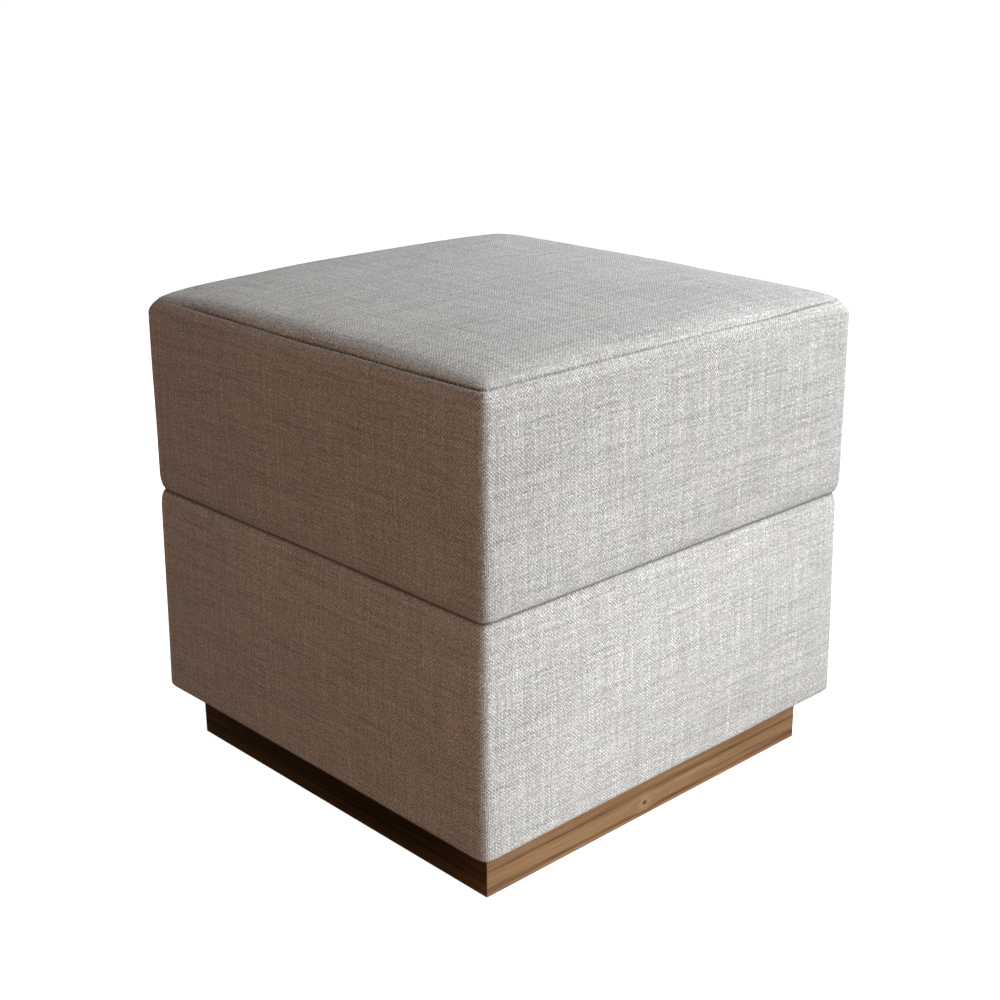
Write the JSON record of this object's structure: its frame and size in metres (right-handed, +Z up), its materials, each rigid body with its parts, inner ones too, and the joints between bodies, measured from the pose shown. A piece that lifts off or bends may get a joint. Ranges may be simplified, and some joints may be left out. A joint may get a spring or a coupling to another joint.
{
  "type": "cube pouf stool",
  "caption": "Cube pouf stool of stacked upholstered blocks in pale linen-look cloth, with a crowned, seamed top, a drawn-in groove round the middle and a recessed wooden plinth.",
  "frame": {"origin": "floor level under the centre of the stool", "axes": "+Z up, the front side faces -Y, the right side faces +X"},
  "size_m": [0.455, 0.455, 0.45],
  "materials": {
    "linen": "matt slubby linen-look weave, off-white and light grey yarns",
    "timber": "oiled satin, mid brown with lengthwise grain"
  },
  "bodies": {
    "root": {"seat_block": "linen", "body_block": "linen", "plinth_front": "timber", "plinth_right": "timber", "plinth_back": "timber", "plinth_left": "timber"}
  },
  "joints": []
}
